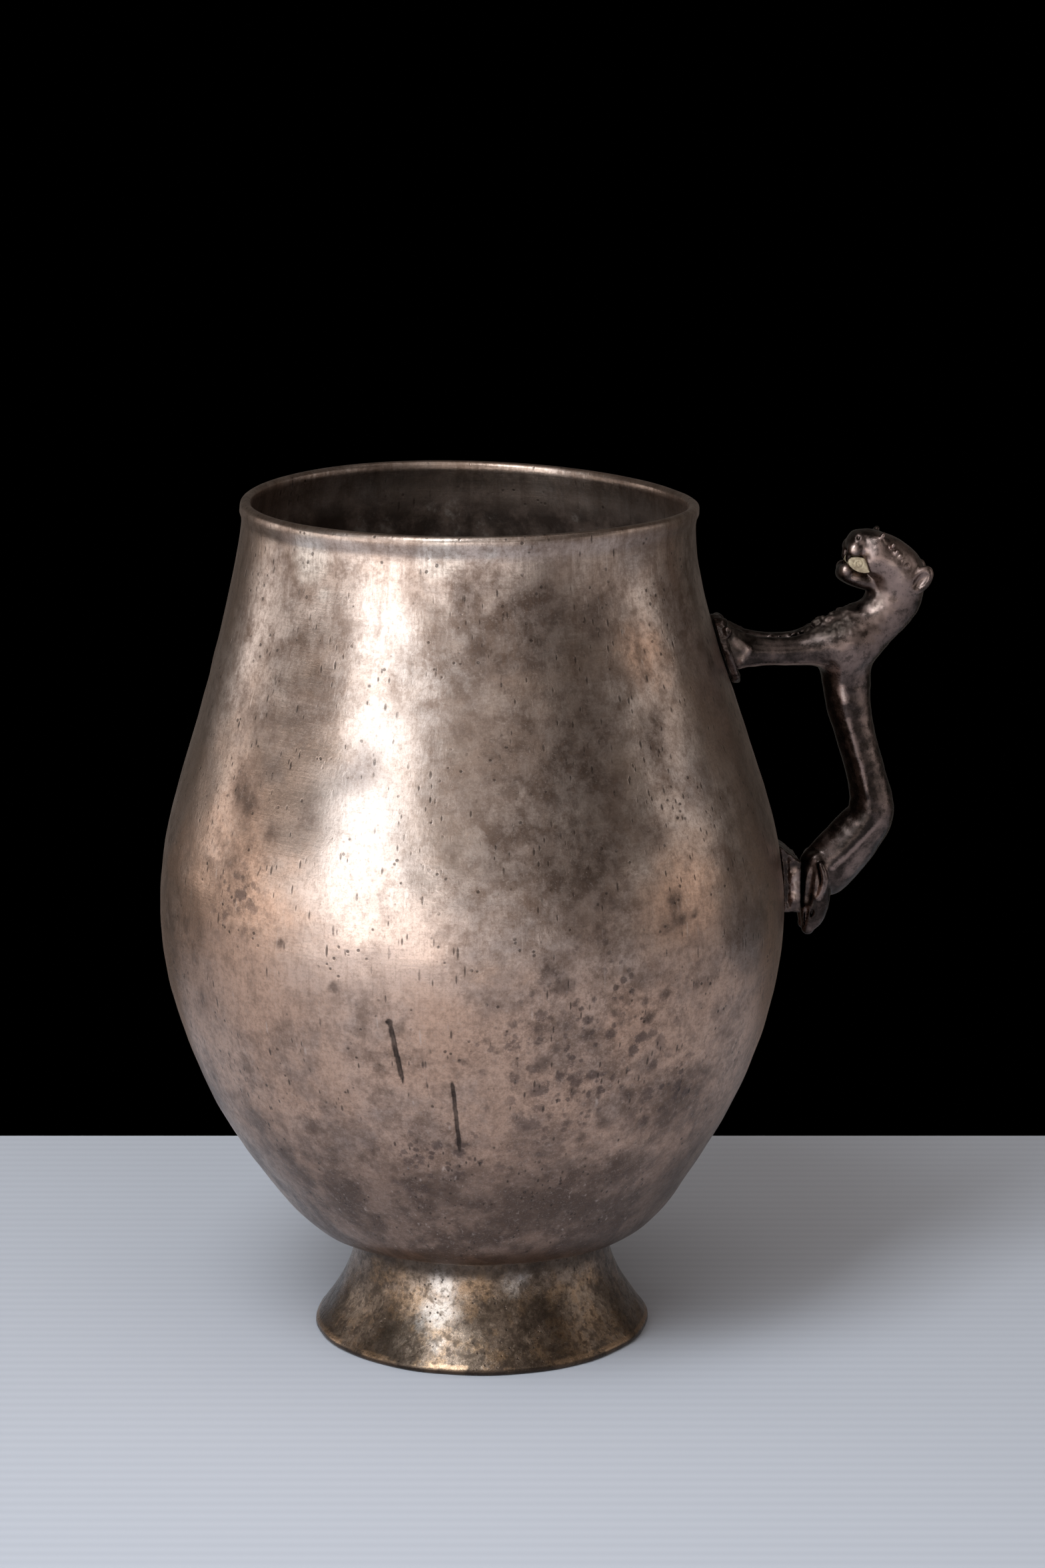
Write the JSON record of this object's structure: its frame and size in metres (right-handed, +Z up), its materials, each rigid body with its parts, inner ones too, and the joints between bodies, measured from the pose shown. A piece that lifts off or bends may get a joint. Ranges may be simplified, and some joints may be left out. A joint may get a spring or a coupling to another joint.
{
  "type": "silver jug",
  "caption": "Pear-shaped raised silver jug on a flared foot, with a cast feline handle, for holding and pouring liquid.",
  "frame": {"origin": "middle of the jug's box, on the plane that the foot stands on", "axes": "+Z up along the vessel's axis, +X from the vessel towards the handle"},
  "size_m": [0.174, 0.1388, 0.19],
  "materials": {
    "vessel_silver": "old raised silver, worn satin with pinkish brown and grey tarnish",
    "foot_silver": "old silver, browner, pitted and scratched",
    "handle_silver": "cast silver, dark glossy tarnish with worn pale ridges",
    "solder": "dull grey brown solder",
    "inlay": "pale gold to bone coloured filling, carved"
  },
  "bodies": {
    "root": {"vessel_body": "vessel_silver", "foot": "foot_silver", "foot_solder": "solder", "feline_handle": "handle_silver", "mouth_inlay": "inlay", "upper_plate": "handle_silver", "upper_solder": "solder", "lower_plate": "handle_silver", "lower_solder": "solder"}
  },
  "joints": []
}
